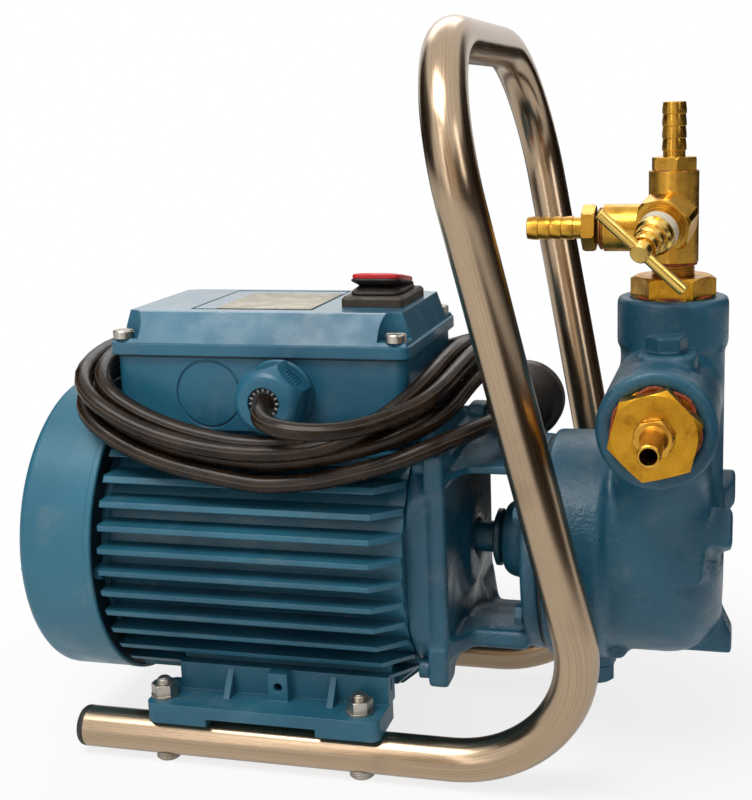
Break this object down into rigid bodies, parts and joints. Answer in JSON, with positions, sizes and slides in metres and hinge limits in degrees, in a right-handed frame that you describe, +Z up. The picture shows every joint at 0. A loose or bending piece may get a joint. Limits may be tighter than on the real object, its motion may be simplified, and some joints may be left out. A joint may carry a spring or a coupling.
{
  "type": "chemical_pump",
  "caption": "Portable close-coupled transfer pump: finned electric motor, self-priming pump end with brass hose fittings and needle valve, bent tube carrying frame and wound mains cord",
  "frame": {"origin": "centre of the bounding box of everything but the mains cord in x and y, at the level the four foot bolt heads stand on", "axes": "+X along the shaft from the fan to the pump, +Y from the suction side to the far side, +Z up"},
  "size_m": [0.3038, 0.2132, 0.3152],
  "materials": {
    "paint": "semi-gloss paint on castings",
    "box_paint": "semi-gloss paint on smooth pressings and mouldings",
    "stainless": "brushed along the tube",
    "steel": "plated",
    "painted_fasteners": "painted over with the casting",
    "brass": "machined",
    "core_steel": "laminated",
    "copper": "varnished winding",
    "black_plastic": "moulded",
    "boot_rubber": "soft",
    "red_plastic": "moulded",
    "cord_black": "sheath with a slight sheen",
    "seal_face": "lapped"
  },
  "bodies": {
    "body": {"tube_frame": "stainless", "tube_end_plugs": "black_plastic", "foot_bolts": "steel", "foot_washers": "steel", "foot_nuts": "steel", "motor_housing": "paint", "stator_core": "core_steel", "stator_windings": "copper", "rear_end_shield": "paint", "drive_end_shield": "paint", "fan_cowl": "paint", "cowl_screws": "painted_fasteners", "terminal_box": "box_paint", "lid_gasket": "boot_rubber", "box_lid": "box_paint", "lid_screws": "steel", "cable_gland_body": "box_paint", "gland_nut": "box_paint", "gland_seal": "boot_rubber", "terminal_block": "black_plastic", "run_capacitor": "black_plastic", "switch_base": "black_plastic", "switch_boot": "boot_rubber", "lantern_bracket": "paint", "lantern_screws": "painted_fasteners", "casing_screws": "painted_fasteners", "casing_gasket": "boot_rubber", "pump_casing": "paint", "filling_plug": "painted_fasteners", "drain_plug": "painted_fasteners", "seal_seat": "seal_face", "suction_bushing": "brass", "suction_hose_tail": "brass", "discharge_bushing": "brass", "tee_nipple": "brass", "tee_body": "brass", "top_hose_tail": "brass", "side_hose_tail": "brass", "valve_bonnet": "brass", "cord_lead": "cord_black", "cord_coil": "cord_black", "cord_tail": "cord_black", "mains_plug": "cord_black", "rear_bearing": "steel", "front_bearing": "steel"},
    "rotor": {"motor_shaft": "steel", "rotor_core": "core_steel", "cooling_fan": "black_plastic", "flinger": "boot_rubber", "impeller": "brass", "impeller_nut": "steel", "seal_head": "seal_face"},
    "rocker": {"switch_rocker": "red_plastic"},
    "spindle": {"valve_spindle": "brass", "t_bar": "brass", "valve_needle": "brass"}
  },
  "joints": [
    {"name": "shaft_turn", "type": "hinge", "parent": "body", "child": "rotor", "pos_m": [-0.0459, 0, 0.0912], "axis": [1, 0, 0], "continuous": true},
    {"name": "rocker_swing", "type": "hinge", "parent": "body", "child": "rocker", "pos_m": [-0.001, 0.0015, 0.1993], "axis": [1, 0, 0], "range_deg": [0, 20]},
    {"name": "valve_turn", "type": "hinge", "parent": "body", "child": "spindle", "pos_m": [0.1255, 0, 0.2354], "axis": [-0.2891, -0.8922, -0.3471], "range_deg": [0, 720]}
  ]
}
